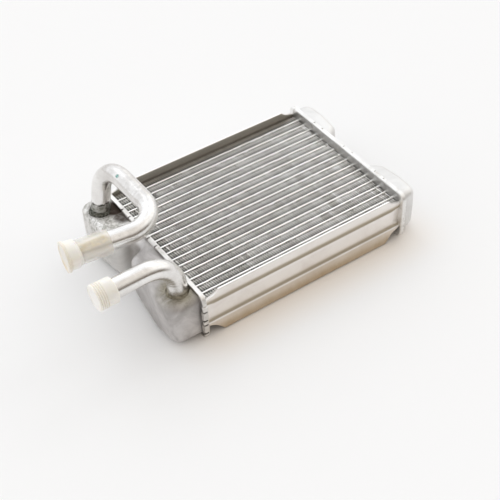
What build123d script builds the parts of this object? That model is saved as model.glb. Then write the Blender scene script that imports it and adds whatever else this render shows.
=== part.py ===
from build123d import *
import math
import os

# A heater core: flat tubes and folded fins between two header plates, a tank
# crimped on each, two pressed side plates, and two bent pipes with end caps.
# X runs along the tubes (pipes at minus X), Y across the stack of tubes,
# Z up through the core. The header plates rest on Z = 0.

# Tubes and fins
tube_count = 16
tube_thickness = 2.0
tube_depth = 32.0
tube_wall = 0.4
core_length = 216.8
fin_height = 8.0
fin_sheet = 0.15
fin_waves = 91
fin_crest_share = 0.3
fin_edge_recess = 0.5
fin_end_gap = 0.4

# Header plates, each a shallow pan with a rim and crimp tabs
pan_sheet = 1.6
pan_rim_depth = 4.6
pan_side_margin = 6.5
pan_height_margin = 10.0
pan_corner_radius = 7.5
pan_fold_radius = 1.2
tube_stickout = 2.0
slot_gap = 0.05
tab_width = 11.5
tab_fold_gap = 0.3
notch_width = 1.3
notch_depth = 2.5
long_tab_count = 3
long_tab_pitch = 48.0
long_tab_shift = -3.8
end_tab_count = 2
end_tab_pitch = 16.2
end_tab_shift = -3.2

# Side plates, pressed from one sheet
plate_sheet = 1.2
plate_web_offset = 3.0
plate_top_margin = 1.4
plate_bottom_margin = 1.5
hem_depth = 3.4
upper_flange_height = 8.1
upper_groove_height = 5.0
web_height = 18.0
lower_groove_height = 4.8
groove_slope = 1.2
lower_flange_flare = 2.2
upper_cut_start = 14.4
upper_cut_end = 10.2
upper_cut_height = 4.0
upper_cut_foot = 1.2
lower_cut_start = 8.5
lower_cut_end = 18.5
lower_cut_height = 4.9
lower_cut_foot = 2.2

# Tanks
tank_wall = 2.0
foot_thickness = 2.0
foot_clearance = 0.3
tank_side_inset = 4.5
tank_height_inset = 3.0
tank_edge_radius = 8.0
tank_end_radius = 11.0
lobe_corner_radius = 9.0
valley_radius = 4.0
pipe_tank_crown = 29.5
pipe_tank_end = 26.5
pipe_tank_shoulder = 23.5
pipe_tank_valley = 9.0
pipe_valley_middle = 6.0
pipe_valley_width = 13.0
pipe_valley_flank = 5.0
return_tank_crown = 18.0
return_tank_end = 16.5
return_tank_shoulder = 15.0
return_tank_valley = 3.0
return_valley_width = 56.0
return_valley_flank = 9.0
baffle_thickness = 1.6

# Pipes
pipe_diameter = 18.0
pipe_wall = 1.4
pipe_stickin = 1.0
weld_reach = 3.2
weld_height = 3.0
weld_depth = 5.0
near_pipe_setback = 10.2
near_pipe_side = 66.4
near_pipe_rise = 38.8
near_pipe_run = 75.5
near_pipe_drift = 0.6
near_pipe_drop = 1.3
near_pipe_bend = 29.0
far_pipe_setback = 13.7
far_pipe_side = 65.4
far_pipe_rise = 53.4
far_pipe_lean = 11.1
far_pipe_side_lean = 4.2
far_pipe_cross = 93.0
far_pipe_cross_lean = 9.7
far_pipe_cross_drop = 13.6
far_pipe_run = 92.5
far_pipe_drift = 10.3
far_pipe_climb = 1.1
far_pipe_bend = 26.0

# Caps pushed over the pipe ends for transit
cap_floor = 2.0
near_cap_length = 18.2
near_cap_closed_diameter = 24.0
near_cap_mouth_diameter = 23.2
near_cap_rings = 4
near_cap_ring_pitch = 1.9
near_cap_ring_height = 0.4
far_cap_length = 41.5
far_cap_disc_diameter = 28.0
far_cap_disc_thickness = 3.0
far_cap_recess = 0.8
far_cap_recess_rim = 2.4
far_cap_body_diameter = 25.4
far_cap_body_length = 8.0
far_cap_sleeve_diameter = 22.4

# Sizes that follow from the ones above
tube_pitch = tube_thickness + fin_height
stack_half = (tube_count * tube_thickness + (tube_count + 1) * fin_height) / 2
core_half = core_length / 2
core_middle = pan_height_margin + tube_depth / 2
pan_half_width = stack_half + pan_side_margin
pan_top = tube_depth + 2 * pan_height_margin
pan_floor_back = core_half + pan_sheet
pan_rim_edge = core_half + pan_rim_depth
tank_half_width = pan_half_width - tank_side_inset
tank_bottom = tank_height_inset
tank_top = pan_top - tank_height_inset
pipe_radius = pipe_diameter / 2


# Flat tubes

def tube_length():
    return 2 * (pan_floor_back + tube_stickout)


def build_tube(number):
    middle = (tube_count - 1) / 2
    y = (middle - number) * tube_pitch
    outside = SlotOverall(tube_depth, tube_thickness)
    inside = SlotOverall(tube_depth - 2 * tube_wall, tube_thickness - 2 * tube_wall)
    place = Plane(origin=(-tube_length() / 2, y, core_middle), x_dir=(0, 0, 1), z_dir=(1, 0, 0))
    return extrude(place * (outside - inside), tube_length())


# Folded fin strips

def strip_outline(points, thickness):
    left = []
    right = []
    last = len(points) - 1
    for i in range(len(points)):
        before = points[max(i - 1, 0)]
        after = points[min(i + 1, last)]
        here = points[i]
        first_way = direction(before, here) if i > 0 else direction(here, after)
        second_way = direction(here, after) if i < last else first_way
        bisector = (-(first_way[1] + second_way[1]), first_way[0] + second_way[0])
        size = math.hypot(bisector[0], bisector[1])
        unit = (bisector[0] / size, bisector[1] / size)
        turn = unit[0] * -first_way[1] + unit[1] * first_way[0]
        reach = thickness / 2 / turn
        left.append((here[0] + unit[0] * reach, here[1] + unit[1] * reach))
        right.append((here[0] - unit[0] * reach, here[1] - unit[1] * reach))
    return left + right[::-1]


def direction(start, end):
    run = end[0] - start[0]
    rise = end[1] - start[1]
    size = math.hypot(run, rise)
    return (run / size, rise / size)


def fin_line():
    half_length = core_half - fin_end_gap
    half_wave = 2 * half_length / (2 * fin_waves)
    crest = half_wave * fin_crest_share
    top = (fin_height - fin_sheet) / 2
    points = []
    for i in range(2 * fin_waves):
        start = -half_length + i * half_wave
        height = top if i % 2 == 0 else -top
        points.append((start + (half_wave - crest) / 2, height))
        points.append((start + (half_wave + crest) / 2, height))
    return points


def build_fin(number):
    y = (tube_count / 2 - number) * tube_pitch
    bottom = pan_height_margin + fin_edge_recess
    outline = [(x, y + v) for x, v in strip_outline(fin_line(), fin_sheet)]
    face = make_face(Polyline(*outline, close=True))
    depth = tube_depth - 2 * fin_edge_recess
    return extrude(Pos(0, 0, bottom) * face, depth)


# Header plates

def pan_outline(inset, radius):
    width = 2 * (pan_half_width - inset)
    height = pan_top - 2 * inset
    return RectangleRounded(height, width, radius)


def header_plane(side, x):
    return Plane(origin=(side * x, 0, pan_top / 2), x_dir=(0, 0, 1), z_dir=(side, 0, 0))


def tab_centres():
    places = []
    for i in range(long_tab_count):
        y = (i - (long_tab_count - 1) / 2) * long_tab_pitch + long_tab_shift
        places.append(("top", y))
        places.append(("bottom", y))
    for i in range(end_tab_count):
        z = (i - (end_tab_count - 1) / 2) * end_tab_pitch + end_tab_shift + core_middle
        places.append(("near", z))
        places.append(("far", z))
    return places


def rim_block(edge, along, width, reach, depth):
    # A block on one edge of the rim: width runs along the edge, reach goes
    # from the outside of the rim inward, depth goes back from its open edge.
    block = Box(depth, width, reach) if edge in ("top", "bottom") else Box(depth, reach, width)
    x = pan_rim_edge - depth / 2
    if edge == "top":
        return Pos(x, along, pan_top - reach / 2) * block
    if edge == "bottom":
        return Pos(x, along, reach / 2) * block
    if edge == "near":
        return Pos(x, -pan_half_width + reach / 2, along) * block
    return Pos(x, pan_half_width - reach / 2, along) * block


def build_header(side):
    outside = extrude(header_plane(1, core_half) * pan_outline(0, pan_corner_radius), pan_rim_depth)
    folded = outside.faces().sort_by(Axis.X)[0].edges()
    outside = fillet(folded, pan_fold_radius)
    hollow_radius = pan_corner_radius - pan_sheet
    hollow = extrude(header_plane(1, pan_floor_back) * pan_outline(pan_sheet, hollow_radius), pan_rim_depth)
    pan = outside - hollow
    fold_depth = pan_rim_depth - pan_sheet - foot_thickness
    fold_reach = min(tank_height_inset, tank_side_inset) - tab_fold_gap
    for edge, along in tab_centres():
        pan += rim_block(edge, along, tab_width, fold_reach, fold_depth)
    for edge, along in tab_centres():
        for way in (-1, 1):
            spot = along + way * (tab_width + notch_width) / 2
            pan -= rim_block(edge, spot, notch_width, 2 * pan_sheet, notch_depth)
    slot = SlotOverall(tube_depth + 2 * slot_gap, tube_thickness + 2 * slot_gap)
    for number in range(tube_count):
        y = ((tube_count - 1) / 2 - number) * tube_pitch
        place = Plane(origin=(core_half, y, core_middle), x_dir=(0, 0, 1), z_dir=(1, 0, 0))
        pan -= extrude(place * slot, pan_sheet)
    return pan if side > 0 else mirror(pan, Plane.YZ)


# Side plates

def plate_levels():
    top = pan_top - plate_top_margin
    levels = [top]
    for step in (upper_flange_height, upper_groove_height, web_height, lower_groove_height):
        levels.append(levels[-1] - step)
    levels.append(plate_bottom_margin)
    return levels


def plate_line():
    # Middle line of the sheet, from the top lip down, as (distance out, Z).
    top, groove_top, web_top, web_bottom, groove_bottom, bottom = plate_levels()
    face = stack_half + plate_web_offset - plate_sheet / 2
    groove = stack_half + plate_sheet / 2
    return [
        (face, top),
        (face, groove_top),
        (groove, groove_top - groove_slope),
        (groove, web_top + groove_slope),
        (face, web_top),
        (face, web_bottom),
        (groove, web_bottom - groove_slope),
        (groove, groove_bottom + groove_slope),
        (face, groove_bottom),
        (face + lower_flange_flare, bottom),
    ]


def plate_end_cuts():
    top, groove_top, web_top, web_bottom, groove_bottom, bottom = plate_levels()
    upper = [
        (core_half - upper_cut_start, top),
        (core_half - upper_cut_end, groove_top + upper_cut_height),
        (core_half, groove_top + upper_cut_foot),
        (core_half, top),
    ]
    lower = [
        (core_half, groove_bottom - lower_cut_foot),
        (core_half - lower_cut_start, groove_bottom - lower_cut_height),
        (core_half - lower_cut_end, bottom - plate_sheet),
        (core_half, bottom - plate_sheet),
    ]
    reach = 2 * (pan_half_width + plate_sheet)
    cuts = []
    for outline in (upper, lower):
        for side in (-1, 1):
            points = [(side * x, 0, z) for x, z in outline]
            face = make_face(Polyline(*points, close=True))
            cuts.append(extrude(face, reach, dir=(0, -1, 0)))
    return cuts


def build_side_plate(side):
    place = Plane(origin=(-core_half, 0, 0), x_dir=(0, -1, 0), z_dir=(-1, 0, 0))
    sheet = make_face(Polyline(*strip_outline(plate_line(), plate_sheet), close=True))
    top = plate_levels()[0]
    face = stack_half + plate_web_offset
    hem = Pos(face - plate_sheet, top - hem_depth / 2) * Rectangle(2 * plate_sheet, hem_depth)
    hem = fillet(hem.vertices().group_by(Axis.Y)[-1], plate_sheet / 2)
    trim = Pos(face, top) * Rectangle(2 * plate_sheet, plate_sheet)
    plate = extrude(place * (sheet - trim + hem), -core_length)
    for cut in plate_end_cuts():
        plate -= cut
    return plate if side < 0 else mirror(plate, Plane.XZ)


# Tanks

def rounded_outline(corners):
    face = make_face(Polyline(*[(x, y) for x, y, radius in corners], close=True))
    for x, y, radius in corners:
        if radius > 0:
            spot = face.vertices().sort_by_distance((x, y, 0))[0]
            face = fillet(spot, radius)
    return face


def tank_solid(corners, inset):
    # A filled tank, running back through the header so it can be cut there.
    outline = rounded_outline(corners)
    if inset > 0:
        outline = offset(outline, -inset)
    bottom = tank_bottom + inset
    top = tank_top - inset
    solid = extrude(Pos(0, 0, bottom) * outline, top - bottom)
    base = solid.faces().sort_by(Axis.X)[-1].center().X
    if abs(base) > core_half:
        base = solid.faces().sort_by(Axis.X)[0].center().X
    ends = solid.faces().sort_by(Axis.Z)
    rims = ends[0].edges() + ends[-1].edges()
    rims = rims.filter_by(lambda edge: abs(edge.center().X - base) > tank_wall)
    return fillet(rims, tank_edge_radius - inset)


def pipe_tank_corners():
    base = -core_half + tank_edge_radius
    edge = -pan_rim_edge
    half = tank_half_width
    near_foot = pipe_valley_middle - pipe_valley_width / 2
    far_foot = pipe_valley_middle + pipe_valley_width / 2
    return [
        (base, -half, 0),
        (edge - pipe_tank_end, -half, tank_end_radius),
        (edge - pipe_tank_crown, -near_pipe_side + lobe_corner_radius, 0),
        (edge - pipe_tank_shoulder, near_foot - pipe_valley_flank, lobe_corner_radius),
        (edge - pipe_tank_valley, near_foot, valley_radius),
        (edge - pipe_tank_valley, far_foot, valley_radius),
        (edge - pipe_tank_shoulder, far_foot + pipe_valley_flank, lobe_corner_radius),
        (edge - pipe_tank_crown, far_pipe_side - lobe_corner_radius, 0),
        (edge - pipe_tank_end, half, tank_end_radius),
        (base, half, 0),
    ]


def return_tank_corners():
    base = core_half - tank_edge_radius
    edge = pan_rim_edge
    half = tank_half_width
    foot = return_valley_width / 2
    shoulder = foot + return_valley_flank
    middle = (shoulder + half) / 2
    return [
        (base, -half, 0),
        (edge + return_tank_end, -half, tank_end_radius),
        (edge + return_tank_crown, -middle, 0),
        (edge + return_tank_shoulder, -shoulder, lobe_corner_radius),
        (edge + return_tank_valley, -foot, valley_radius),
        (edge + return_tank_valley, foot, valley_radius),
        (edge + return_tank_shoulder, shoulder, lobe_corner_radius),
        (edge + return_tank_crown, middle, 0),
        (edge + return_tank_end, half, tank_end_radius),
        (base, half, 0),
    ]


def tank_foot(side):
    inset = pan_sheet + foot_clearance
    face = pan_outline(inset, pan_corner_radius - inset)
    return extrude(header_plane(side, pan_floor_back) * face, foot_thickness)


def beyond_pan_floor(side):
    size = 2 * pan_half_width
    return Pos(side * (pan_floor_back + size / 2), 0, pan_top / 2) * Box(size, 2 * size, size)


def build_tank(corners, side):
    body = tank_solid(corners, 0) & beyond_pan_floor(side)
    hollow = tank_solid(corners, tank_wall)
    return body + tank_foot(side) - hollow


def build_pipe_tank():
    tank = build_tank(pipe_tank_corners(), -1)
    tank -= pipe_bore(near_pipe_points())
    tank -= pipe_bore(far_pipe_points())
    return tank


def build_baffle():
    inside = tank_solid(pipe_tank_corners(), tank_wall) & beyond_pan_floor(-1)
    reach = pipe_tank_crown + pan_rim_edge
    slab = Pos(-reach, 0, core_middle) * Box(reach, baffle_thickness, pan_top)
    return inside & slab


# Pipes

def near_pipe_points():
    foot = Vector(-pan_rim_edge - near_pipe_setback, -near_pipe_side, tank_top)
    corner = foot + Vector(0, 0, near_pipe_rise)
    end = corner + Vector(-near_pipe_run, -near_pipe_drift, -near_pipe_drop)
    return [foot, corner, end]


def far_pipe_points():
    foot = Vector(-pan_rim_edge - far_pipe_setback, far_pipe_side, tank_top)
    first = foot + Vector(far_pipe_lean, far_pipe_side_lean, far_pipe_rise)
    second = first + Vector(far_pipe_cross_lean, -far_pipe_cross, -far_pipe_cross_drop)
    end = second + Vector(-far_pipe_run, far_pipe_drift, far_pipe_climb)
    return [foot, first, second, end]


def leg_direction(points):
    return (points[1] - points[0]).normalized()


def pipe_bore(points):
    way = leg_direction(points)
    start = points[0] - way * tank_edge_radius
    return extrude(Plane(origin=start, z_dir=way) * Circle(pipe_radius + slot_gap), 2 * tank_edge_radius)


def build_pipe(points, bend):
    way = leg_direction(points)
    start = points[0] - way * (tank_wall + pipe_stickin)
    last_way = (points[-1] - points[-2]).normalized()
    end = points[-1] - last_way * cap_floor
    route = FilletPolyline(start, *points[1:-1], end, radius=bend)
    ring = Circle(pipe_radius) - Circle(pipe_radius - pipe_wall)
    return sweep(Plane(origin=start, z_dir=way) * ring, path=route)


def build_weld(points):
    way = leg_direction(points)
    start = points[0] - way * weld_depth
    height = weld_depth + weld_height
    bead = Solid.make_cone(pipe_radius + weld_reach, pipe_radius, height, Plane(origin=start, z_dir=way))
    bead -= extrude(Plane(origin=start, z_dir=way) * Circle(pipe_radius), height)
    bead -= tank_solid(pipe_tank_corners(), 0)
    behind_rim = Box(pan_rim_edge, 2 * pan_half_width, 2 * pan_top)
    bead -= Pos(-pan_rim_edge / 2 - slot_gap, 0, pan_top) * behind_rim
    return bead


# Caps

def place_on_end(points, shape):
    way = (points[-1] - points[-2]).normalized()
    return Plane(origin=points[-1], x_dir=(0, 1, 0), z_dir=-way) * shape


def spin(profile):
    face = make_face(Polyline(*profile, close=True))
    return revolve(Plane.XZ * face, Axis.Z)


def build_near_cap():
    bore = pipe_radius
    closed = near_cap_closed_diameter / 2
    mouth = near_cap_mouth_diameter / 2
    profile = [(0, 0), (closed, 0)]
    taper = (mouth - closed) / near_cap_length
    for i in range(1, near_cap_rings + 1):
        at = i * near_cap_ring_pitch
        radius = closed + taper * at
        profile.append((radius, at - near_cap_ring_height))
        profile.append((radius - near_cap_ring_height, at))
        profile.append((radius, at + near_cap_ring_height))
    profile += [(mouth, near_cap_length), (bore, near_cap_length), (bore, cap_floor), (0, cap_floor)]
    return place_on_end(near_pipe_points(), spin(profile))


def build_far_cap():
    bore = pipe_radius
    disc = far_cap_disc_diameter / 2
    body = far_cap_body_diameter / 2
    sleeve = far_cap_sleeve_diameter / 2
    body_end = far_cap_disc_thickness + far_cap_body_length
    profile = [
        (0, far_cap_recess),
        (disc - far_cap_recess_rim - far_cap_recess, far_cap_recess),
        (disc - far_cap_recess_rim, 0),
        (disc, 0),
        (disc, far_cap_disc_thickness),
        (body, far_cap_disc_thickness),
        (body, body_end),
        (sleeve, body_end + (body - sleeve)),
        (sleeve, far_cap_length),
        (bore, far_cap_length),
        (bore, cap_floor),
        (0, cap_floor),
    ]
    return place_on_end(far_pipe_points(), spin(profile))


# Write every piece to its own file

def build_all():
    pieces = {}
    for number in range(tube_count):
        pieces[f"tube_{number + 1:02d}"] = build_tube(number)
    for number in range(tube_count + 1):
        pieces[f"fin_{number + 1:02d}"] = build_fin(number)
    pieces["header_pipe_end"] = build_header(-1)
    pieces["header_return_end"] = build_header(1)
    pieces["side_plate_near"] = build_side_plate(-1)
    pieces["side_plate_far"] = build_side_plate(1)
    pieces["tank_pipe_end"] = build_pipe_tank()
    pieces["tank_return_end"] = build_tank(return_tank_corners(), 1)
    pieces["tank_baffle"] = build_baffle()
    pieces["pipe_near"] = build_pipe(near_pipe_points(), near_pipe_bend)
    pieces["pipe_far"] = build_pipe(far_pipe_points(), far_pipe_bend)
    pieces["weld_near"] = build_weld(near_pipe_points())
    pieces["weld_far"] = build_weld(far_pipe_points())
    pieces["cap_near"] = build_near_cap()
    pieces["cap_far"] = build_far_cap()
    return pieces


os.makedirs("parts", exist_ok=True)
for name, shape in build_all().items():
    export_step(shape, f"parts/{name}.step")
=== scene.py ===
import math
import bpy
import numpy as np
from mathutils import Matrix, Vector


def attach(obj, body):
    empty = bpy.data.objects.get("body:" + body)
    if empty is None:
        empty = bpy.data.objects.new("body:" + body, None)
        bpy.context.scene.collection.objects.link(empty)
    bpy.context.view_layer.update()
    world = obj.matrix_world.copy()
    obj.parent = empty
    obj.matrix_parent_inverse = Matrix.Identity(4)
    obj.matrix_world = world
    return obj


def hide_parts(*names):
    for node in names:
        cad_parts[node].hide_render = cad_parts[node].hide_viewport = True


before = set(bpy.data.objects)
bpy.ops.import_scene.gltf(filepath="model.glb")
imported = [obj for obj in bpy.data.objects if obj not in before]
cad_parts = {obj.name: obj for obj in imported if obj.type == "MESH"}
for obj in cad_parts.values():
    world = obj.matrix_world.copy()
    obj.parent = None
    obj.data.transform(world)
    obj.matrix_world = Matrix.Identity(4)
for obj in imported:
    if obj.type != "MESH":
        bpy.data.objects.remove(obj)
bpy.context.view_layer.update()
MM = 0.001


# The tube block: sixteen flat tubes of rolled aluminium strip, brazed into
# the header slots at both ends. Their upper edges are what shows between the
# fins, bright from rolling, with small dents and a dusty film of braze flux.

def skin(rings, closed=True):
    """Quads between neighbouring rings of points; a closed ring joins its last point to its first."""
    rings = np.asarray(rings, float)
    count, size = rings.shape[:2]
    index = np.arange(count * size).reshape(count, size)
    if closed:
        index = np.concatenate([index, index[:, :1]], axis=1)
    quads = np.stack([index[:-1, :-1], index[:-1, 1:], index[1:, 1:], index[1:, :-1]], axis=-1)
    return rings.reshape(-1, 3), [list(q) for q in quads.reshape(-1, 4)]


def fill(rings, which):
    """One flat face over the first or the last ring."""
    count, size = np.asarray(rings).shape[:2]
    first = (count - 1) * size if which else 0
    loop = list(range(first, first + size))
    return loop if which else loop[::-1]


class Reading:
    """A value read off the surface. Sums written on it become Math nodes."""

    def __init__(self, finish, socket):
        self.finish = finish
        self.socket = socket

    def sum(self, operation, *terms):
        inputs = {number: term for number, term in enumerate(terms)}
        return self.finish.node("ShaderNodeMath", {"operation": operation}, inputs)

    def __add__(self, other):
        return self.sum("ADD", self, other)

    def __radd__(self, other):
        return self.sum("ADD", other, self)

    def __sub__(self, other):
        return self.sum("SUBTRACT", self, other)

    def __rsub__(self, other):
        return self.sum("SUBTRACT", other, self)

    def __mul__(self, other):
        return self.sum("MULTIPLY", self, other)

    def __rmul__(self, other):
        return self.sum("MULTIPLY", other, self)

    def larger(self, other):
        return self.sum("MAXIMUM", self, other)

    def size(self):
        return self.sum("ABSOLUTE", self)

    def fraction(self):
        return self.sum("FRACT", self)

    def rise(self, low, high):
        """0 below low, 1 above high, smooth between; low may be the larger."""
        settings = {"interpolation_type": "SMOOTHSTEP"}
        inputs = {"Value": self, "From Min": low, "From Max": high}
        return self.finish.node("ShaderNodeMapRange", settings, inputs)


class Wiring:
    """What is shared by the materials and the room light: nodes joined by readings."""

    def __init__(self, tree):
        self.tree = tree

    def join(self, socket, value):
        if isinstance(value, Reading):
            self.tree.links.new(value.socket, socket)
        elif isinstance(value, tuple) and len(value) == 3 and socket.type == "RGBA":
            socket.default_value = (*value, 1.0)
        else:
            socket.default_value = value

    def node(self, kind, settings=None, inputs=None, output=0):
        made = self.tree.nodes.new(kind)
        for key, value in (settings or {}).items():
            setattr(made, key, value)
        for key, value in (inputs or {}).items():
            self.join(made.inputs[key], value)
        return Reading(self, made.outputs[output])

    def where(self):
        return self.node("ShaderNodeTexCoord", output="Object")

    def lay(self):
        """Millimetres along and around a swept piece, written on its mesh."""
        return self.node("ShaderNodeAttribute", {"attribute_name": "lay"}, output="Vector")

    def axes(self, place=None):
        place = place or self.where()
        return [self.node("ShaderNodeSeparateXYZ", inputs={0: place}, output=i) for i in range(3)]

    def stretch(self, place, scale):
        return self.node("ShaderNodeVectorMath", {"operation": "MULTIPLY"}, {0: place, 1: scale})

    def cloud(self, place, scale, detail=3.0, rough=0.55, bend=0.0):
        inputs = {"Vector": place, "Scale": scale, "Detail": detail, "Roughness": rough, "Distortion": bend}
        return self.node("ShaderNodeTexNoise", {}, inputs)

    def near(self, point, reach, fade):
        """1 within reach of a point, 0 beyond reach and fade, in metres."""
        inputs = {0: self.where(), 1: point}
        gap = self.node("ShaderNodeVectorMath", {"operation": "DISTANCE"}, inputs, output="Value")
        return gap.rise(reach + fade, reach)

    def mix(self, share, first, second):
        return self.node("ShaderNodeMix", {"data_type": "RGBA"}, {0: share, 6: first, 7: second}, output=2)

    def bump(self, height, strength, distance, onto=None):
        inputs = {"Height": height, "Strength": strength, "Distance": distance}
        if onto is not None:
            inputs["Normal"] = onto
        return self.node("ShaderNodeBump", {}, inputs)


class Finish(Wiring):
    """One material, made of a Principled shader and what feeds it."""

    def __init__(self, name, **constants):
        self.material = bpy.data.materials.new(name)
        self.material.use_nodes = True
        super().__init__(self.material.node_tree)
        self.shader = self.tree.nodes["Principled BSDF"]
        for key, value in constants.items():
            self.feed(key.replace("_", " ").title().replace("Ior", "IOR"), value)

    def feed(self, name, value):
        self.join(self.shader.inputs[name], value)


def piece(name, parts, finish, nodes, smooth=40, lay=None):
    """Joins (points in mm, faces) pairs into one object that stands for the named CAD nodes."""
    points, faces = [], []
    start = 0
    for part_points, part_faces in parts:
        points.append(np.asarray(part_points, float))
        faces += [[i + start for i in face] for face in part_faces]
        start += len(part_points)
    points = np.concatenate(points) * MM
    mesh = bpy.data.meshes.new(name)
    mesh.from_pydata(points.tolist(), [], faces)
    mesh.validate()
    if lay is not None:
        layer = mesh.attributes.new("lay", "FLOAT_VECTOR", "POINT")
        layer.data.foreach_set("vector", np.asarray(lay, float).ravel())
    mesh.materials.append(finish.material)
    made = bpy.data.objects.new(name, mesh)
    bpy.context.collection.objects.link(made)
    if smooth:
        mesh.shade_smooth()
        mesh.set_sharp_from_angle(angle=math.radians(smooth))
    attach(made, "root")
    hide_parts(*nodes)
    return made


rolled = Finish("rolled_strip", metallic=1.0)
place = rolled.where()
streak = rolled.cloud(rolled.stretch(place, (30.0, 900.0, 900.0)), 1.0, 2.0)
film = rolled.cloud(place, 60.0, 4.0, 0.6)
speck = rolled.cloud(place, 900.0, 2.0)
dull = film.rise(0.42, 0.72)
rolled.feed("Base Color", rolled.mix(dull * 0.7 + streak * 0.25, (0.97, 0.97, 0.95), (0.84, 0.83, 0.80)))
rolled.feed("Roughness", 0.20 + dull * 0.16 + streak * 0.08)
rolled.feed("Normal", rolled.bump(streak * 0.6 + speck * 0.4, 0.15, 0.00004))

tube_pitch = 10.0
tube_rows = 16
tube_straight = 15.0
core_middle = 26.0
tube_end = 112.0
dents_per_tube = 7
tube_waver = 0.10
chance = np.random.default_rng(11)


def wander(at, seed, size, spread):
    """A smooth wavering line: a few sines whose phases come from the seed."""
    phases = np.random.default_rng(seed).uniform(0, 2 * math.pi, 5)
    waves = [np.sin(at / spread * (0.7 + 0.9 * k) + phases[k]) / (1 + k) for k in range(5)]
    return size * sum(waves) / 2.0


for row in range(tube_rows):
    middle = ((tube_rows - 1) / 2 - row) * tube_pitch
    stations = np.linspace(-tube_end, tube_end, 90)
    arc = np.linspace(0, math.pi, 9)
    upper = []
    for a in arc[:-1]:
        across = math.copysign(abs(math.cos(a)) ** 0.7, math.cos(a))
        upper.append((across, tube_straight + math.sin(a) ** 0.45))
    upper.append((-1.0, tube_straight))
    lower = [(-across, -up) for across, up in upper]
    outline = np.array(upper + lower)
    dents = np.zeros(len(stations))
    for _ in range(dents_per_tube):
        at, wide, deep = chance.uniform(-100, 100), chance.uniform(1.5, 5.0), chance.uniform(0.05, 0.28)
        dents += deep * np.exp(-((stations - at) / wide) ** 2)
    rings = []
    for number, x in enumerate(stations):
        sway = wander(np.array([x]), 40 + row, tube_waver, 30.0)[0]
        ring = []
        for across, up in outline:
            dent = dents[number] if up > 0 else 0
            ring.append((x, middle + sway + across, core_middle + up - dent))
        rings.append(ring)
    points, faces = skin(rings)
    faces += [fill(rings, False), fill(rings, True)]
    piece(f"tube_strip_{row + 1:02d}", [(points, faces)], rolled, [f"tube_{row + 1:02d}"])


# Folded fins: aluminium foil about a tenth of a millimetre thick, folded into
# tight waves and brazed by their crests between the tubes. Each fold is cut
# with tilted louvres. Handling has bent the tips of some folds.

foil = Finish("fin_foil", metallic=1.0)
place = foil.where()
patch = foil.cloud(place, 55.0, 4.0, 0.6)
grit = foil.cloud(place, 1400.0, 2.0)
x_at, y_at, z_at = foil.axes(place)
# Painted shade: below the fold tips the foil is painted near black, for the shade deep between the fins.
depth = z_at.rise(0.0403, 0.0411)
# Painted shade: the side of each fin row next to a tube is painted darker, for the shade along the tube.
across_row = (y_at * 100.0 + 0.5).fraction()
bright = foil.mix(patch.rise(0.35, 0.7), (0.96, 0.945, 0.915), (0.93, 0.91, 0.88))
bright = foil.mix(across_row.rise(0.60, 0.25) * 0.42, bright, (0.30, 0.29, 0.27))
foil.feed("Base Color", foil.mix(depth, (0.085, 0.08, 0.07), bright))
foil.feed("Roughness", 0.22 + grit * 0.16)
foil.feed("Normal", foil.bump(grit, 0.3, 0.00004))

fin_waves = 91
fin_half_length = 108.0
fin_half_height = 3.98
fin_thickness = 0.15
fold_tilt = 0.70
fold_drop = 1.9
half_wave = fin_half_length / fin_waves
crest = 0.5 * half_wave
bow = [(-0.5, 0.42, 0.0), (-0.36, 0.12, 0.15), (0.0, 0.0, 0.5), (0.36, 0.12, 0.85), (0.5, 0.42, 1.0)]
fold_numbers = np.arange(2 * fin_waves)
folds = -fin_half_length + (fold_numbers + 1) * half_wave
louvre_pitch = 1.55
louvre_reach = 0.62
louvre_lean = 0.34
louvre_heights = np.arange(11.4, 40.9, louvre_pitch)
fin_levels = ((10.5, 0.0, 0.0, 0.0), (11.6, 0.0, 0.0, 0.0), (37.0, 0.15, 0.0, 0.0))
fin_levels += ((40.85, 0.6, 0.12, 1.0), (41.7, 1.0, 1.0, 1.0))
crushed = [(-62, 5, 3, 0.6), (44, -35, 3, 0.6), (70, 30, 4, 0.5), (-20, 55, 3, 0.4), (12, -62, 3, 0.5)]
crushed += [(chance.uniform(-98, 98), chance.uniform(-78, 78), chance.uniform(2, 5), 0.3) for _ in range(9)]


def offset_both_ways(line, reach):
    """A line's two sides, at equal distance along its normals."""
    run = np.gradient(line, axis=0)
    run /= np.linalg.norm(run, axis=1)[:, None]
    across = np.stack([-run[:, 1], run[:, 0]], axis=1)
    return line + across * reach, line - across * reach


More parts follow.
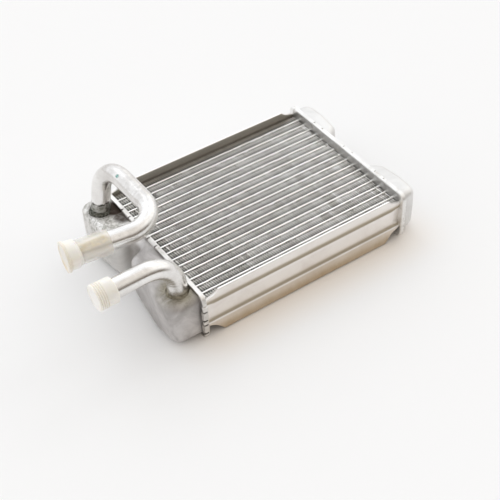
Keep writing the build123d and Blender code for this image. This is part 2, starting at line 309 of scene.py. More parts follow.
for row in range(tube_rows + 1):
    middle = (tube_rows / 2 - row) * tube_pitch
    handled = 0.72 + wander(folds, 500 + row, 0.04, 6.5) + wander(folds, 700 + row, 0.08, 1.9)
    handled = np.clip(handled + chance.normal(0, 0.24, len(folds)), 0.05, 1.40)
    tipped = np.where(fold_numbers % 2 == 0, fold_tilt, 0.05) * handled
    pressed_in = np.where(fold_numbers % 2 == 0, 0.0, fold_drop)
    line, tip, dip = [], [], []
    for fold in range(2 * fin_waves):
        x = -fin_half_length + (fold + 0.5) * half_wave
        side = 1 if fold % 2 == 0 else -1
        for along, below, share in bow:
            line.append((x + along * crest, side * (fin_half_height - fin_thickness / 2 - below)))
            tip.append(tipped[fold - 1] * (1 - share) + tipped[fold] * share)
            dip.append(pressed_in[fold - 1] * (1 - share) + pressed_in[fold] * share)
    line, tip, dip = np.array(line), np.array(tip), np.array(dip)
    sway = wander(line[:, 0], 300 + row, 0.12, 9.0) + chance.normal(0, 0.045, len(line))
    bend = np.zeros(len(line))
    for at, across, wide, deep in crushed:
        if abs(across - middle) < tube_pitch / 2:
            pull = deep * np.exp(-((line[:, 0] - at) / wide) ** 2)
            bend += pull * (1 + 0.6 * np.sin(line[:, 0] * 2.1 + at))
    hold = 1 - (np.abs(line[:, 1]) / fin_half_height) ** 6
    left, right = offset_both_ways(line, fin_thickness / 2)
    sheets = []
    for z, give, tip_share, dip_share in fin_levels:
        shift = (sway + bend) * hold * give + tip * tip_share
        drop = 0.45 * bend * give + dip * dip_share
        for side in (left, right):
            sheets.append(np.stack([side[:, 0] + shift, side[:, 1] + middle, z - drop], axis=1))
    front, back = sheets[0::2], sheets[1::2]
    parts = [skin(front, closed=False), skin(back[::-1], closed=False)]
    parts += [skin([front[-1], back[-1]], closed=False), skin([back[0], front[0]], closed=False)]
    blades, blade_faces = [], []
    for fold in range(2 * fin_waves - 1):
        foot = (fold + 1) * len(bow)
        top, low = line[foot - 1], line[foot]
        ends = [top + (low - top) * 0.1, top + (low - top) * 0.9]
        lean = louvre_lean if fold % 2 == 0 else -louvre_lean
        for z in louvre_heights:
            tilt = lean if z < core_middle else -lean
            start = len(blades)
            for x, y in ends:
                blades.append((x - tilt, y + middle, z - louvre_reach))
                blades.append((x + tilt, y + middle, z + louvre_reach))
            blade_faces.append([start, start + 1, start + 3, start + 2])
    parts.append((np.array(blades), blade_faces))
    piece(f"fin_row_{row + 1:02d}", parts, foil, [f"fin_{row + 1:02d}"], smooth=0)


# Header plates: aluminium sheet pressed into shallow pans. The tubes pass
# through slots in the floor, each with a small drawn collar, and the rim is
# slit into tabs that are folded over the tank's foot.

pressed = Finish("pressed_sheet", metallic=1.0)
place = pressed.where()
x_at, y_at, z_at = pressed.axes(place)
mottle = pressed.cloud(place, 45.0, 5.0, 0.6)
scuff = pressed.cloud(pressed.stretch(place, (700.0, 120.0, 120.0)), 1.0, 3.0)
stain = pressed.cloud(place, 130.0, 4.0, 0.65).rise(0.52, 0.75)
# Painted light: the pipe-end header is painted darker and the return-end header lighter, for the brighter
# light on the return end.
pipe_end_painted_darker = pressed.mix(mottle.rise(0.35, 0.7), (0.86, 0.845, 0.825), (0.70, 0.68, 0.655))
return_end_painted_lighter = pressed.mix(mottle.rise(0.35, 0.7), (0.88, 0.875, 0.86), (0.78, 0.77, 0.75))
plain = pressed.mix(x_at.rise(-0.05, 0.05), pipe_end_painted_darker, return_end_painted_lighter)
# The pipe-end rim is made darker towards the bottom.
pipe_end_rim_darker_low = z_at.rise(0.040, 0.012) * x_at.rise(-0.100, -0.108) * 0.45
# Painted shade: dark lines are painted into the notches between the tabs on the near edge of the pipe-end
# rim.
slit_heights = (0.0097, 0.0197, 0.0252, 0.0358)
notch_shade_lines = 0.0
for slit in slit_heights:
    notch_shade_lines = (z_at - slit).size().rise(0.0009, 0.0005) + notch_shade_lines
notch_shade_lines = notch_shade_lines * y_at.rise(-0.0890, -0.0898) * x_at.rise(-0.1095, -0.1102)
stains_and_darker_low = pressed.mix((stain * 0.45).larger(pipe_end_rim_darker_low), plain, (0.38, 0.34, 0.29))
pressed.feed("Base Color", pressed.mix(notch_shade_lines * 0.85, stains_and_darker_low, (0.10, 0.09, 0.08)))
pressed.feed("Roughness", 0.34 + mottle * 0.18 + stain * 0.15)
pressed.feed("Normal", pressed.bump(mottle * 0.6 + scuff * 0.4, 0.3, 0.00015))

header_face = 108.4
rim_edge = 113.0
header_half_width, header_height, header_corner = 90.5, 52.0, 7.5
tab_half = {"top": 5.75, "low": 5.75, "near": 4.4, "far": 4.4}
long_edge_tabs = [(edge, at) for edge in ("top", "low") for at in (-51.8, -3.8, 44.2)]
short_edge_tabs = [(edge, at) for edge in ("near", "far") for at in (14.7, 30.5)]
tabs = {-1: long_edge_tabs + short_edge_tabs, 0: [], 1: long_edge_tabs}
notch = 1.5
tooth_pitch = 3.4
tooth_edges = 20
teeth_bottom, teeth_top = 9.0, 42.0
strap_bottom, strap_top = 6.0, 41.0
strap_proud = 1.3


def outline_walk(half_width, height, corner, step, side=0):
    """Points round a rounded rectangle with their outward normals and the edge they are on."""
    walk = []
    marks = []
    for edge, at in tabs[side]:
        reach = tab_half[edge]
        marks += [(edge, at + gap) for gap in (-reach - notch, -reach, reach, reach + notch)]
    for edge in ("near", "far"):
        if side < 0:
            marks += [(edge, strap_top), (edge, strap_bottom)]
        if side > 0:
            marks += [(edge, teeth_bottom + k * tooth_pitch / 2) for k in range(tooth_edges)]
    mid = height / 2
    flat_y, flat_z = half_width - corner, mid - corner
    corner_after = {
        "top": (flat_y, flat_z),
        "far": (flat_y, -flat_z),
        "low": (-flat_y, -flat_z),
        "near": (-flat_y, flat_z),
    }
    for edge, start, end, normal in (
        ("top", (-flat_y, mid), (flat_y, mid), (0, 1)),
        ("far", (half_width, flat_z), (half_width, -flat_z), (1, 0)),
        ("low", (flat_y, -mid), (-flat_y, -mid), (0, -1)),
        ("near", (-half_width, -flat_z), (-half_width, flat_z), (-1, 0)),
    ):
        start, end = np.array(start, float), np.array(end, float)
        length = np.linalg.norm(end - start)
        stops = set(np.round(np.linspace(0, length, max(2, int(length / step))), 3))
        run = (end - start) / length
        for mark_edge, at in marks:
            if mark_edge == edge:
                spot = np.array([at, 0.0]) if edge in ("top", "low") else np.array([0.0, at - mid])
                middle = float((spot - start) @ run)
                stops |= {round(middle - 0.12, 3), round(middle + 0.12, 3)}
        for stop in sorted(s for s in stops if 0 <= s <= length):
            walk.append((start + run * stop, np.array(normal, float), edge))
        centre = np.array(corner_after[edge])
        first = math.atan2(normal[1], normal[0])
        for k in range(1, 10):
            angle = first - k / 10 * math.pi / 2
            way = np.array([math.cos(angle), math.sin(angle)])
            walk.append((centre + way * corner, way, "corner"))
    return walk


def rim_section(kind, wobble):
    """(outward, depth) points from the pan floor's core side, round the rim, to its tank side."""
    if kind == "notch":
        top = 1.75
        edge = [(0, top - 0.1), (-0.2, top), (-0.8, top), (-1.4, top), (-1.6, top), (-1.6, top)]
    elif kind == "tab":
        edge = [(0, 3.3), (-0.35, 4.2), (-1.0, 4.6), (-2.55, 4.6), (-2.7, 4.4), (-2.6, 3.62)]
    else:
        lip = [(0, 4.3), (-0.3, 4.55), (-0.8, 4.6), (-1.3, 4.55), (-1.6, 4.3)]
        edge = [(outward, deep + wobble) for outward, deep in lip] + [(-1.6, 3.6)]
    fold = [(-5.0, 0), (-1.6, 0), (-0.9, 0.12), (-0.35, 0.45), (0, 1.2), (0, 1.5)]
    back = [(-1.6, 1.9), (-1.75, 1.7), (-2.2, 1.6), (-5.0, 1.6)]
    return fold + edge + back


def header(side):
    rings = []
    walk = outline_walk(header_half_width, header_height, header_corner, 1.6, side)
    for number, (spot, normal, edge) in enumerate(walk):
        at = spot[0] if edge in ("top", "low") else spot[1] + header_height / 2
        kind = "rim"
        for tab_edge, middle in tabs[side]:
            if tab_edge == edge:
                gap = abs(at - middle)
                if gap < tab_half[edge]:
                    kind = "tab"
                elif gap < tab_half[edge] + notch:
                    kind = "notch"
        wobble = wander(np.array([float(number)]), 70 + side, 0.16, 3.0)[0] - 0.1
        proud = 0.0
        if edge in ("near", "far") and side < 0 and strap_bottom < at < strap_top:
            proud = strap_proud
        if edge in ("near", "far") and side > 0 and teeth_bottom < at < teeth_top:
            between = (at - teeth_bottom) % tooth_pitch < tooth_pitch / 2
            wobble = -1.2 if between else 0.1
        ring = []
        for outward, deep in rim_section(kind, wobble):
            y, z = spot + normal * (outward + (proud if outward > -0.9 and deep > 0.4 else 0.0))
            strap = 0.9 if proud and kind != "notch" and deep > 3.0 else 0.0
            ring.append((side * (header_face + deep + strap), y, z + header_height / 2))
        rings.append(ring)
    rings.append(rings[0])
    points, faces = skin(rings, closed=False)
    size = len(rings[0])
    inner = [i * size for i in range(len(rings) - 1)]
    outer = [i * size + size - 1 for i in range(len(rings) - 1)]
    faces += [inner[::-1], outer]
    parts = [(points, faces)]
    for row in range(tube_rows):
        middle = ((tube_rows - 1) / 2 - row) * tube_pitch
        collar = []
        for grow, deep in ((0.9, 0.0), (0.6, -0.12), (0.4, -0.28), (0.2, -0.32), (0.0, -0.3)):
            ring = []
            for a in np.linspace(0, 2 * math.pi, 20, endpoint=False):
                rise = tube_straight if math.sin(a) >= 0 else -tube_straight
                slot_y = middle + (1 + grow) * math.cos(a)
                slot_z = core_middle + rise + (1 + grow) * math.sin(a)
                ring.append((side * (header_face + deep), slot_y, slot_z))
            collar.append(ring)
        parts.append(skin(collar))
    return parts


piece("header_plate_pipe_end", header(-1), pressed, ["header_pipe_end"], smooth=35)
piece("header_plate_return_end", header(1), pressed, ["header_return_end"], smooth=35)


# Side plates: aluminium sheet pressed with two grooves that touch the outer
# fins, a hemmed lip along the top, and a lower flange that flares out. The
# flanges are cut off at a slant where they would meet the header plates.

side_sheet = Finish("side_plate_sheet", metallic=1.0)
place = side_sheet.where()
x_at, y_at, z_at = side_sheet.axes(place)
rolling = side_sheet.cloud(side_sheet.stretch(place, (14.0, 500.0, 800.0)), 1.0, 3.0, 0.6)
haze = side_sheet.cloud(place, 38.0, 4.0, 0.6, 0.4)
drip = side_sheet.cloud(side_sheet.stretch(place, (120.0, 60.0, 60.0)), 1.0, 4.0, 0.65)
out = y_at.size()
# Painted shade: the two grooves are painted dark olive, for the shade and the dark reflection in them.
upper_groove = z_at.rise(0.0430, 0.0376) * z_at.rise(0.0358, 0.0370)
lower_groove = z_at.rise(0.0218, 0.0162) * z_at.rise(0.0144, 0.0156)
groove = upper_groove.larger(lower_groove) * out.rise(0.0874, 0.0872)
# The lower flange is painted tan, more towards the bottom: partly a stain, partly a painted reflection of
# the warm shadow on the floor.
low = z_at.rise(0.0144, 0.0124) * 0.5 + z_at.rise(0.0125, 0.0035) * 0.4
# Painted shade: the plates' inner faces are painted darker, for the shade and the dark reflection of the
# fins.
inside = out.rise(0.0852, 0.0849) * z_at.rise(0.0507, 0.0500)
# Painted highlight: the top of the hem is painted near white.
painted_crown_highlight = z_at.rise(0.0500, 0.0504)
plain = side_sheet.mix(haze.rise(0.4, 0.72), (0.91, 0.885, 0.86), (0.84, 0.805, 0.775))
groove_painted_shade = side_sheet.mix(groove * 0.90, plain, (0.46, 0.40, 0.30))
tan = side_sheet.mix(low * (0.85 + drip.rise(0.3, 0.7) * 0.15), groove_painted_shade, (0.48, 0.37, 0.23))
shaded = side_sheet.mix(inside * 0.8, tan, (0.46, 0.44, 0.39))
side_sheet.feed("Base Color", side_sheet.mix(painted_crown_highlight, shaded, (0.97, 0.96, 0.95)))
side_sheet.feed("Roughness", 0.28 + rolling * 0.14 + haze * 0.10 + groove * 0.15 - painted_crown_highlight * 0.12)
side_sheet.feed("Normal", side_sheet.bump(rolling * 0.7 + haze * 0.5, 0.22, 0.0002))

plate_gauge = 1.2
plate_face = 87.0
plate_half_length = 108.35
plate_corner = 85.6
slant_from, slant_over = 0.79, 0.21
tuck_deep, tuck_from, tuck_over = 1.8, 100.0, 8.35


def rounded(corners, radii, steps, most):
    """A bent line, its inner corners turned into arcs that take at most a given share of a side."""
    path = [np.array(p, float) for p in corners]
    out = [path[0]]
    for before, here, after, radius in zip(path, path[1:], path[2:], radii):
        into, away = here - before, after - here
        long_in, long_out = np.linalg.norm(into), np.linalg.norm(away)
        into, away = into / long_in, away / long_out
        turn = math.acos(np.clip(into @ away, -1, 1))
        cut = min(radius * math.tan(turn / 2), long_in * most, long_out * most)
        a, b = here - into * cut, here + away * cut
        for k in range(steps + 1):
            s = k / steps
            out.append((1 - s) ** 2 * a + 2 * s * (1 - s) * here + s ** 2 * b)
    out.append(path[-1])
    return np.array(out)


def plate_end(z):
    """How far along X the plate reaches at a height: the slanted cuts."""
    return float(np.interp(z, (0.3, 9.8, 12.5, 43.7, 46.5, 50.6), (89.9, 99.9, 108.35, 108.35, 98.2, 94.0)))


face = plate_face - plate_gauge / 2
hem_face = face - 1.4
hem = [(hem_face, 41.8), (hem_face, 50.05), (face, 50.05), (face, 46.0)]
groove_depths = (0.0, 0.08, 0.28, 0.58, 0.90, 1.10, 1.05, 0.70, 0.30, 0.0)
upper_heights = (44.2, 43.0, 41.6, 40.3, 39.1, 38.2, 37.6, 36.9, 36.3, 35.8)
lower_heights = (22.8, 21.6, 20.2, 18.8, 17.5, 16.6, 16.0, 15.4, 14.9, 14.4)
grooves = [(face - deep, z) for deep, z in zip(groove_depths, upper_heights)]
grooves += [(face - deep, z) for deep, z in zip(groove_depths, lower_heights)]
flange_edge = (face + 2.2, 1.6)
mid_line = np.concatenate([rounded(hem, (0.7, 0.7), 4, 0.45), grooves, [flange_edge]])


def side_plate(side):
    dense = [mid_line[0]]
    for a, b in zip(mid_line, mid_line[1:]):
        count = max(1, int(np.linalg.norm(b - a) / 1.3))
        dense += [a + (b - a) * (k + 1) / count for k in range(count)]
    dense = np.array(dense)
    over, under = offset_both_ways(dense, plate_gauge / 2 - 0.01)
    section = np.concatenate([over, under[::-1]])
    ends, between = np.linspace(0.8, 1, 14), np.linspace(-0.78, 0.78, 70)
    columns = np.concatenate([np.linspace(-1, -0.8, 14), between, ends])
    rings = []
    for share in columns:
        ring = []
        for out_at, z in section:
            reach = plate_end(min(z, 50.6))
            x = share * plate_half_length
            if abs(share) > slant_from:
                along = (abs(share) - slant_from) / slant_over
                x = math.copysign(plate_corner + (reach - plate_corner) * along, share)
            lean = 0.15 * math.sin(x / 41.0 + side) * (1 if z > 43 or z < 13 else 0.25)
            tucked = min(1.0, max(0.0, (abs(x) - tuck_from) / tuck_over)) if 19.5 < z < 37.0 else 0.0
            ring.append((x, side * (out_at + lean - tuck_deep * tucked), z))
        rings.append(ring)
    if side > 0:
        rings = rings[::-1]
    points, faces = skin(rings)
    half, last = len(over), (len(rings) - 1) * len(section)
    for k in range(half - 1):
        end = [k, k + 1, 2 * half - 2 - k, 2 * half - 1 - k]
        faces += [end[::-1], [corner + last for corner in end]]
    return [(points, faces)]


piece("side_sheet_near", side_plate(-1), side_sheet, ["side_plate_near"], smooth=50)
piece("side_sheet_far", side_plate(1), side_sheet, ["side_plate_far"], smooth=50)


# Tanks: deep-drawn aluminium, two rounded lobes each with a valley between
# them, standing on a flat foot inside the header rim. The metal is matt from
# the furnace, blotched by flux, and scorched brown and black near the pipes.
# The valley has painted shade, the pipe-end tank is painted darker than the
# return-end tank for the light on them, and painted shadow is mixed into the
# soot between the far pipe and the rim.

drawn = Finish("tank_metal", metallic=1.0)
place = drawn.where()
x_at, y_at, z_at = drawn.axes(place)
bloom = drawn.cloud(place, 34.0, 5.0, 0.62, 0.6)
fleck = drawn.cloud(place, 420.0, 4.0, 0.7)
crust = drawn.cloud(place, 190.0, 5.0, 0.72, 1.0)
grain = drawn.cloud(place, 1500.0, 2.0)
near_foot, far_foot = (-0.1232, -0.0664), (-0.1267, 0.0654)
near_heat = drawn.near((*near_foot, 0.047), 0.011, 0.012)
far_heat = drawn.near((*far_foot, 0.047), 0.010, 0.006)
# Partly soot, partly painted shadow: dark patches on the tank top between the far pipe and the rim.
soot_and_painted_shadow = drawn.near((-0.1160, 0.0590, 0.0490), 0.0075, 0.0050)
soot_and_painted_shadow = soot_and_painted_shadow.larger(drawn.near((-0.1145, 0.0450, 0.0490), 0.0060, 0.0060) * 0.8)
soot = (near_heat * crust.rise(0.46, 0.60) * 0.32).larger(far_heat * bloom.rise(0.3, 0.62))
soot = soot.larger(soot_and_painted_shadow * (0.9 + crust * 0.5))
far_end = y_at.rise(0.018, 0.042) * x_at.rise(-0.110, -0.112)
blotch = crust.rise(0.49, 0.58) * far_end * (0.35 + z_at.rise(0.030, 0.046) * 0.65)
bleached = crust.rise(0.48, 0.40) * far_end * z_at.rise(0.040, 0.048)
# Painted shade: the valley between the lobes is painted darker.
valley = y_at.rise(-0.009, -0.001) * y_at.rise(0.0165, 0.0120) * z_at.rise(0.0485, 0.0440)
# The near lobe of the pipe-end tank is darker than the far lobe.
near_lobe_darker = drawn.mix(bloom.rise(0.35, 0.68), (0.65, 0.63, 0.62), (0.44, 0.42, 0.41))
far_lobe_lighter = drawn.mix(bloom.rise(0.35, 0.68), (0.75, 0.735, 0.715), (0.60, 0.585, 0.565))
pipe_end_painted_darker = drawn.mix(y_at.rise(0.000, 0.016), near_lobe_darker, far_lobe_lighter)
pipe_end_painted_darker = drawn.mix(valley * 0.55, pipe_end_painted_darker, (0.27, 0.25, 0.23))
# Painted light: the pipe-end tank is painted darker and the return-end tank lighter, for the brighter light
# on the return end.
return_end_painted_lighter = drawn.mix(bloom.rise(0.35, 0.68), (0.80, 0.795, 0.785), (0.70, 0.695, 0.685))
plain = drawn.mix(x_at.rise(-0.05, 0.05), pipe_end_painted_darker, return_end_painted_lighter)
plain = drawn.mix(near_heat * (0.30 + bloom.rise(0.35, 0.60) * 0.45), plain, (0.34, 0.31, 0.225))
floured = drawn.mix(bleached * 0.85, plain, (0.92, 0.92, 0.90))
spotted = drawn.mix(blotch * 0.75, floured, (0.36, 0.365, 0.32))
drawn.feed("Base Color", drawn.mix(soot * 0.88, spotted, (0.075, 0.055, 0.045)))
drawn.feed("Roughness", 0.46 + bloom * 0.16 + soot * 0.15)
relief = drawn.bump(bloom, 0.25, 0.0004)
drawn.feed("Normal", drawn.bump(fleck * (0.5 + far_end) + grain * 0.5, 0.4, 0.00022, relief))


def plan_walk(corners, step):
    """A plan outline with rounded corners, evenly spaced, with outward normals."""
    dense = rounded([(x, y) for x, y, _ in corners], [radius for _, _, radius in corners[1:-1]], 16, 0.48)
    gaps = np.concatenate([[0], np.cumsum(np.linalg.norm(np.diff(dense, axis=0), axis=1))])
    stops = np.linspace(0, gaps[-1], int(gaps[-1] / step))
    even = np.stack([np.interp(stops, gaps, dense[:, k]) for k in range(2)], axis=1)
    for _ in range(2):
        even[1:-1] = (even[:-2] + 2 * even[1:-1] + even[2:]) / 4
    run = np.gradient(even, axis=0)
    run /= np.linalg.norm(run, axis=1)[:, None]
    return even, np.stack([run[:, 1], -run[:, 0]], axis=1)


tank_mouth = 109.5
rim_start = 112.0
tank_bottom, tank_top = 3.0, 49.0
tank_edge_radius = 7.0
tank_spine_half = 78.0
tank_crown = 0.6
roof_crown = 0.35


def tank_shell(corners, side):
    walk, normals = plan_walk(corners, 1.7)
    bottom, top, radius = tank_bottom, tank_top, tank_edge_radius
    rings = []
    for (x, y), (nx, ny) in zip(walk, normals):
        spread = side * x - rim_start
        give = min(1.0, max(0.0, spread) / 6.0)
        ring = []
        heights = np.linspace(bottom + radius, top - radius, 10)
        for k in range(10):
            angle = k / 10 * math.pi / 2
            ring.append((radius * (1 - math.sin(angle)), bottom + radius * (1 - math.cos(angle))))
        ring += [(0, z) for z in heights]
        for k in range(1, 11):
            angle = k / 10 * math.pi / 2
            ring.append((radius * (1 - math.cos(angle)), top - radius * (1 - math.sin(angle))))
        points = []
        for inward, z in ring:
            belly = tank_crown * give * (1 - ((z - core_middle) / ((top - bottom) / 2)) ** 2)
            shift = belly - inward
            px, py = x + nx * shift, y + ny * shift
            px = side * max(side * px, tank_mouth)
            points.append((px, py, z))
        rings.append(points)
    points, faces = skin(rings, closed=False)
    size = len(rings[0])
    parts = [(points, faces)]
    for which, z_sign in ((0, -1), (size - 1, 1)):
        rim = np.array([ring[which] for ring in rings])
        spine = rim.copy()
        spine[:, 0] = side * tank_mouth
        spine[:, 1] = np.clip(spine[:, 1], -tank_spine_half, tank_spine_half)
        sheet = [rim + (spine - rim) * share for share in np.linspace(0, 1, 8)]
        for share, layer in zip(np.linspace(0, 1, 8), sheet):
            outer = np.clip((side * rim[:, 0] - rim_start) / 15, 0, 1)
            layer[:, 2] += z_sign * roof_crown * math.sin(share * math.pi) * outer
        parts.append(skin(sheet if z_sign * side < 0 else sheet[::-1], closed=False))
    foot = []
    for outward, deep in ((-6.0, 1.62), (-2.6, 1.62), (-2.6, 3.4), (-2.8, 3.6), (-6.0, 3.6)):
        ring = []
        for spot, normal, _ in outline_walk(header_half_width, header_height, header_corner, 3.0):
            y, z = spot + normal * outward
            ring.append((side * (header_face + deep), y, z + header_height / 2))
        foot.append(ring)
    parts.append(skin(foot))
    return parts


pipe_tank_plan = [
    (-tank_mouth, -86.0, 0), (-139.5, -86.0, 12), (-142.5, -57.4, 40), (-136.5, -5.5, 10), (-122.0, -0.5, 5),
    (-122.0, 12.5, 5), (-136.5, 17.5, 10), (-142.5, 56.4, 40), (-139.5, 86.0, 12),
    (-tank_mouth, 86.0, 0),
]
return_tank_plan = [
    (tank_mouth, -86.0, 0), (129.5, -86.0, 12), (131.0, -61.5, 40), (128.0, -37.0, 10), (116.0, -28.0, 6),
    (116.0, 28.0, 6), (128.0, 37.0, 10), (131.0, 61.5, 40), (129.5, 86.0, 12),
    (tank_mouth, 86.0, 0),
]
pipe_end_shell = tank_shell(pipe_tank_plan[::-1], -1)
return_end_shell = tank_shell(return_tank_plan, 1)
piece("tank_shell_pipe_end", pipe_end_shell, drawn, ["tank_pipe_end"], smooth=50)
piece("tank_shell_return_end", return_end_shell, drawn, ["tank_return_end"], smooth=50)
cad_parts["tank_baffle"].data.materials.clear()
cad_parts["tank_baffle"].data.materials.append(drawn.material)


# Pipes: drawn aluminium tube, eighteen millimetres across, bent cold and
# brazed into the tank. They are semi-bright, with fine lines from drawing,
# a slightly flattened section in the bends, and scorching at the foot.

tube_metal = Finish("drawn_pipe", metallic=1.0)
place = tube_metal.where()
lay = tube_metal.lay()
lines = tube_metal.cloud(tube_metal.stretch(lay, (0.05, 3.0, 1.0)), 1.0, 4.0, 0.7)
dust = tube_metal.cloud(place, 70.0, 4.0, 0.6, 0.3)
rub = tube_metal.cloud(place, 320.0, 4.0, 0.7).rise(0.55, 0.75)
x_at, y_at, z_at = tube_metal.axes(place)
far_leg = y_at.rise(0.050, 0.052) * x_at.rise(-0.100, -0.104)
flux = far_leg * z_at.rise(0.0625, 0.0570)
wavy = z_at + (dust - 0.5) * 0.006
char = tube_metal.cloud(place, 260.0, 4.0, 0.7)
burn_ring = far_leg * wavy.rise(0.0618, 0.0607) * wavy.rise(0.0586, 0.0598) * char.rise(0.44, 0.54)
foot_ring = z_at.rise(0.0535, 0.0500)
paint = tube_metal.near((-0.1177, 0.0365, 0.1048), 0.0008, 0.0016) * rub.larger(lines.rise(0.40, 0.52))
plain = tube_metal.mix(dust.rise(0.35, 0.72), (0.88, 0.87, 0.855), (0.76, 0.745, 0.725))
rubbed = tube_metal.mix(rub * 0.45, plain, (0.58, 0.57, 0.54))
scrapes = tube_metal.cloud(place, 110.0, 4.0, 0.62, 0.6)
scraped = tube_metal.near((-0.1120, 0.0300, 0.1000), 0.024, 0.020) * scrapes.rise(0.18, 0.74)
rubbed = tube_metal.mix(scraped * 0.60, rubbed, (0.53, 0.50, 0.475))
floured = tube_metal.mix(flux * (0.55 + char.rise(0.40, 0.60) * 0.42), rubbed, (0.20, 0.20, 0.17))
scorch = burn_ring.larger(foot_ring * dust.rise(0.35, 0.55) * 0.8)
burnt = tube_metal.mix(scorch, floured, (0.07, 0.066, 0.055))
tube_metal.feed("Base Color", tube_metal.mix(paint, burnt, (0.04, 0.30, 0.26)))
tube_metal.feed("Metallic", 1.0 - paint)
tube_metal.feed("Roughness", 0.15 + dust * 0.10 + lines * 0.08 + flux * 0.28)
tube_metal.feed("Normal", tube_metal.bump(lines * 0.6 + rub * 0.5, 0.25, 0.00012))

pipe_radius = 9.0
pipe_sides = 56
near_bend, far_bend = 29.0, 26.0
bend_flattens, bend_widens = 0.045, 0.02
bend_pucker = 0.10
near_route = [(-123.2, -66.4, 45.5), (-123.2, -66.4, 87.8), (-196.7, -67.0, 86.5)]
far_route = [(-127.4, 65.1, 45.5), (-115.6, 69.6, 102.4), (-105.9, -23.4, 88.8), (-196.4, -13.3, 89.9)]


def bent_run(route, radius, step=1.2):
    """Points along straight runs and round arcs of one radius, with how far into a bend each lies."""
    route = [np.array(p, float) for p in route]
    points, bends, sides = [], [], []
    here = route[0]
    for before, corner, after in zip(route, route[1:], route[2:]):
        into = (corner - before) / np.linalg.norm(corner - before)
        away = (after - corner) / np.linalg.norm(after - corner)
        turn = math.acos(np.clip(into @ away, -1, 1))
        cut = radius * math.tan(turn / 2)
        start, end = corner - into * cut, corner + away * cut
        side = (away - into * (into @ away))
        side /= np.linalg.norm(side)
        count = max(2, int(np.linalg.norm(start - here) / step))
        for k in range(count):
            points.append(here + (start - here) * k / count)
            bends.append(0.0)
            sides.append(side)
        count = int(radius * turn / step)
        for k in range(count):
            angle = turn * k / count
            points.append(start + side * radius * (1 - math.cos(angle)) + into * radius * math.sin(angle))
            bends.append(math.sin(math.pi * k / count) ** 0.6)
            sides.append(side * math.cos(angle) - into * math.sin(angle))
        here = end
    count = max(2, int(np.linalg.norm(route[-1] - here) / step))
    for k in range(count + 1):
        points.append(here + (route[-1] - here) * k / count)
        bends.append(0.0)
        sides.append(sides[-1])
    return np.array(points), np.array(bends), np.array(sides)


def square_to(way, guide):
    """Two directions at right angles to a way and to each other."""
    across = np.cross(way, guide)
    across /= np.linalg.norm(across)
    return across, np.cross(way, across)


def pipe_body(route, bend_radius, seed):
    points, bends, sides = bent_run(route, bend_radius)
    runs = np.gradient(points, axis=0)
    runs /= np.linalg.norm(runs, axis=1)[:, None]
    rings, lays = [], []
    across, _ = square_to(runs[0], [1.0, 0.0, 0.0])
    travelled = 0.0
    for number, (spot, run, bend, side) in enumerate(zip(points, runs, bends, sides)):
        across = across - run * (across @ run)
        across /= np.linalg.norm(across)
        other = np.cross(run, across)
        if number:
            travelled += np.linalg.norm(spot - points[number - 1])
        ring = []
        for k in range(pipe_sides):
            angle = 2 * math.pi * k / pipe_sides
            way = across * math.cos(angle) + other * math.sin(angle)
            facing = way @ side
            flat = 1 - bend_flattens * bend * facing ** 2 + bend_widens * bend * (1 - facing ** 2)
            pucker = bend_pucker * bend * max(0.0, facing) * math.sin(travelled * 1.3 + seed)
            ring.append(spot + way * (pipe_radius * flat + pucker))
            lays.append((travelled, angle * pipe_radius, 0.0))
        rings.append(ring)
    mouth = []
    for shrink, back in ((0.0, 0.0), (0.5, 0.35), (1.0, 0.35), (1.4, 0.0), (1.4, -12.0)):
        scale = (pipe_radius - shrink) / pipe_radius
        along = run * (back if back < 0 else back * 0.3)
        mouth.append([spot + (np.array(p) - spot) * scale + along for p in rings[-1]])
        lays += [(travelled + 1, k * 1.0, 0.0) for k in range(pipe_sides)]
    return [skin(rings), skin(mouth)], lays


near_body, near_lay = pipe_body(near_route, near_bend, 0.4)
far_body, far_lay = pipe_body(far_route, far_bend, 1.7)
piece("pipe_bend_near", near_body, tube_metal, ["pipe_near"], lay=near_lay)
piece("pipe_bend_far", far_body, tube_metal, ["pipe_far"], lay=far_lay)


# Braze beads: filler metal run round the foot of each pipe with a torch. The
# bead is lumpy, spreads onto the tank, and is dark with flux and soot.

bead_metal = Finish("braze_bead", metallic=1.0)
place = bead_metal.where()
lumps = bead_metal.cloud(place, 160.0, 4.0, 0.6)
crust = bead_metal.cloud(place, 600.0, 4.0, 0.7)
burnt = bead_metal.near((*far_foot, 0.049), 0.014, 0.008)
plain = bead_metal.mix(lumps.rise(0.35, 0.65), (0.34, 0.31, 0.24), (0.12, 0.105, 0.075))
scorched = bead_metal.mix(crust.rise(0.44, 0.66), (0.06, 0.062, 0.050), (0.26, 0.26, 0.23))
bead_metal.feed("Base Color", bead_metal.mix(burnt, plain, scorched))
bead_metal.feed("Roughness", 0.42 + crust * 0.3)
bead_metal.feed("Normal", bead_metal.bump(lumps * 0.6 + crust * 0.4, 0.6, 0.0006))


bead_slope = [(1.9, -4.0), (1.9, -0.6), (1.7, 0.2), (1.3, 0.7)]
bead_slope += [(0.9, 1.2), (0.5, 1.7), (0.2, 2.1), (-0.1, 2.3)]
bead_sides = 72


def bead(foot, way, seed):
    foot, way = np.array(foot), np.array(way, float)
    way /= np.linalg.norm(way)
    across, other = square_to(way, [0.0, 1.0, 0.0])
    rings = []
    for reach, height in bead_slope:
        ring = []
        for k in range(bead_sides):
            angle = 2 * math.pi * k / bead_sides
            lump = 0.5 * math.sin(4 * angle + seed) + 0.25 * math.sin(9 * angle + 2 * seed)
            lump += 0.15 * math.sin(17 * angle)
            grow = pipe_radius + reach + lump * max(0.0, reach) / 3
            outward = across * math.cos(angle) + other * math.sin(angle)
            spot = foot + outward * grow + way * (height + 0.2 * lump)
            spot[0] = min(spot[0], -rim_edge - 0.05)
            ring.append(spot)
        rings.append(ring)
    return [skin(rings)]


